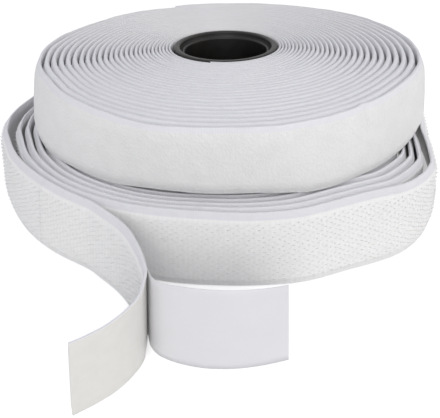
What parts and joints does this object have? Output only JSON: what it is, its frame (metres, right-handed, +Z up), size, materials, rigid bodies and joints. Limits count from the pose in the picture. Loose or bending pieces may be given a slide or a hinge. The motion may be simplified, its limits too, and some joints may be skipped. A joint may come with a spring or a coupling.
{
  "type": "hook and loop tape roll pair",
  "caption": "Roll of self-adhesive loop tape standing on a roll of self-adhesive hook tape, each wound on a moulded core, with the hook tape's end partly peeled from its liner.",
  "frame": {"origin": "on the floor, under the middle of the whole part's outline seen from above", "axes": "+Z up along the rolls' shared axis, -Y towards the viewer and the peeled end, +X to the viewer's right"},
  "size_m": [0.157, 0.1896, 0.0404],
  "materials": {
    "core_plastic": "black moulded polystyrene, satin",
    "hook_tape": "white woven nylon with cut monofilament hooks, adhesive coated back",
    "loop_tape": "white napped nylon loop pile, adhesive coated back",
    "release_liner": "bluish white silicone-coated release film, smooth"
  },
  "bodies": {
    "hook_roll": {"hook_core": "core_plastic", "hook_tape": "hook_tape", "hook_liner": "release_liner"},
    "tape_tail": {"hook_tape_tail": "hook_tape", "tail_liner": "release_liner"},
    "peeled_liner": {"liner_flap": "release_liner"},
    "loop_roll": {"loop_core": "core_plastic", "loop_tape": "loop_tape", "loop_liner": "release_liner"}
  },
  "joints": [
    {"name": "loop_roll_turn", "type": "hinge", "parent": "hook_roll", "child": "loop_roll", "pos_m": [0.00271, 0.01579, 0.0204], "axis": [0, 0, 1], "continuous": true},
    {"name": "tail_swing", "type": "hinge", "parent": "hook_roll", "child": "tape_tail", "pos_m": [-0.04024, -0.04868, 0.01], "axis": [0, 0, 1], "range_deg": [-20, 8]},
    {"name": "liner_peel", "type": "hinge", "parent": "tape_tail", "child": "peeled_liner", "pos_m": [-0.017, -0.07653, 0.01], "axis": [0, 0, 1], "range_deg": [-20, 20]}
  ]
}
